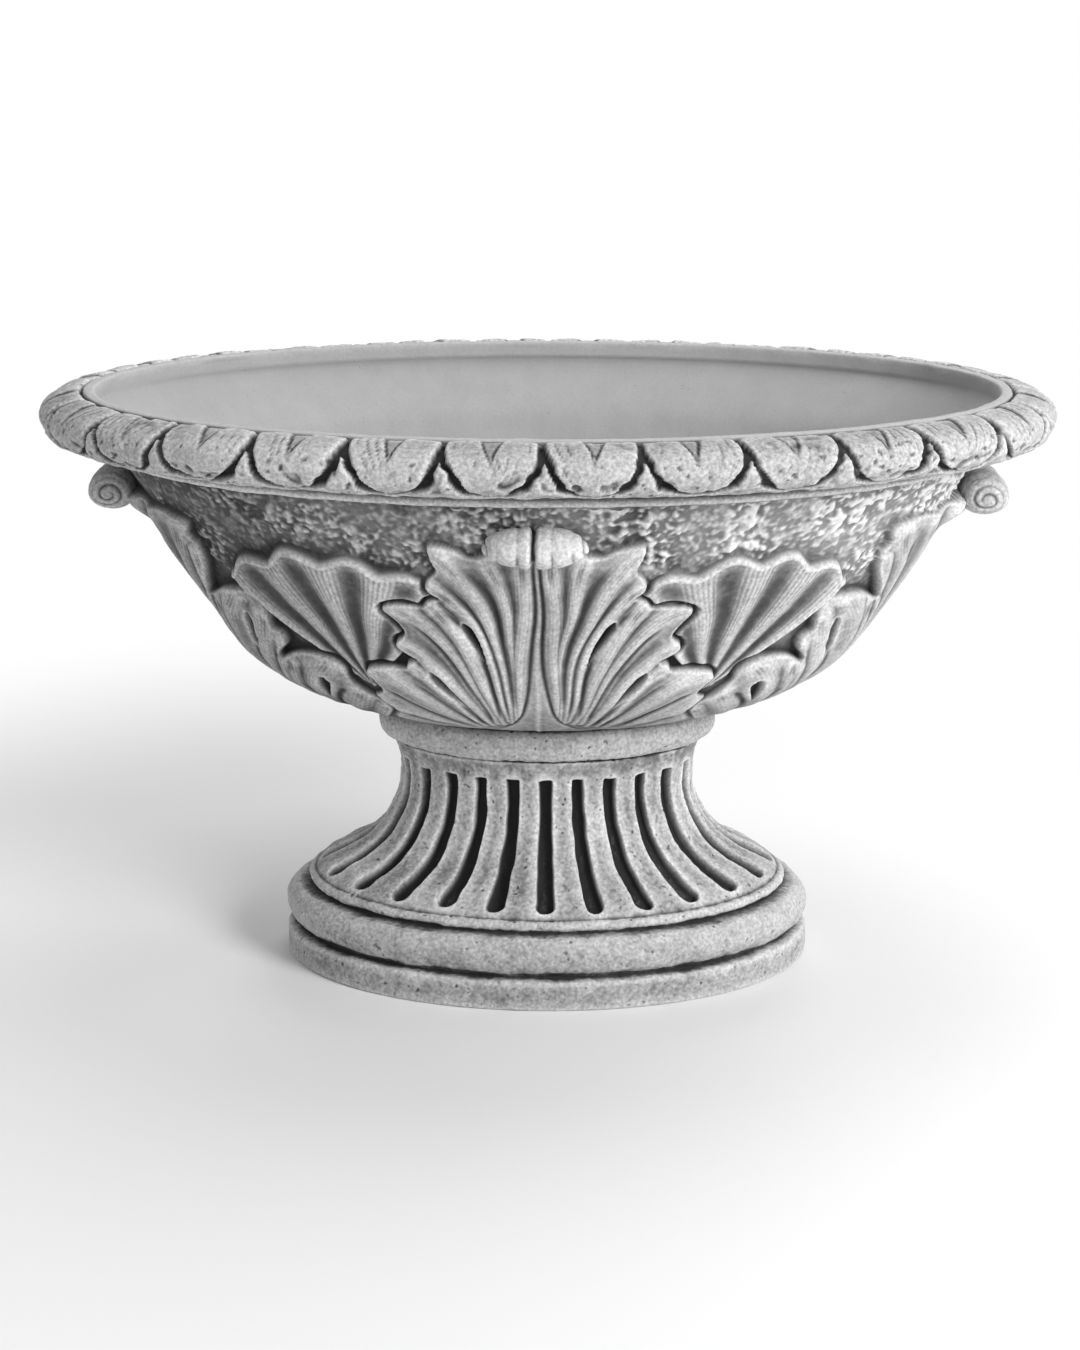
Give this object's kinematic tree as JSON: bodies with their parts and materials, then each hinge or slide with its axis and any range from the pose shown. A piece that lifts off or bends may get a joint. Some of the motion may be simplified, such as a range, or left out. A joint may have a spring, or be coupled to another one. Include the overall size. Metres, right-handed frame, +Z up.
{
  "type": "urn planter",
  "caption": "Oval cast-stone garden urn planter: a carved bowl with a wide ornamental rim on a fluted foot, bedded in mortar, dowelled and drained.",
  "frame": {"origin": "centre of the base, on the ground", "axes": "+X along the oval's long axis to the right seen from the front, +Y towards the back, +Z up; the front leaf faces -Y"},
  "size_m": [0.7976, 0.5314, 0.48],
  "materials": {
    "cast_stone_bowl": "matte",
    "cast_stone_foot": "matte",
    "mortar": "matte",
    "sleeve_plastic": "matte",
    "stainless": "satin"
  },
  "bodies": {
    "root": {"bowl": "cast_stone_bowl", "foot": "cast_stone_foot", "mortar_bed": "mortar", "drain_sleeve": "sleeve_plastic", "dowel_left": "stainless", "dowel_right": "stainless"}
  },
  "joints": []
}
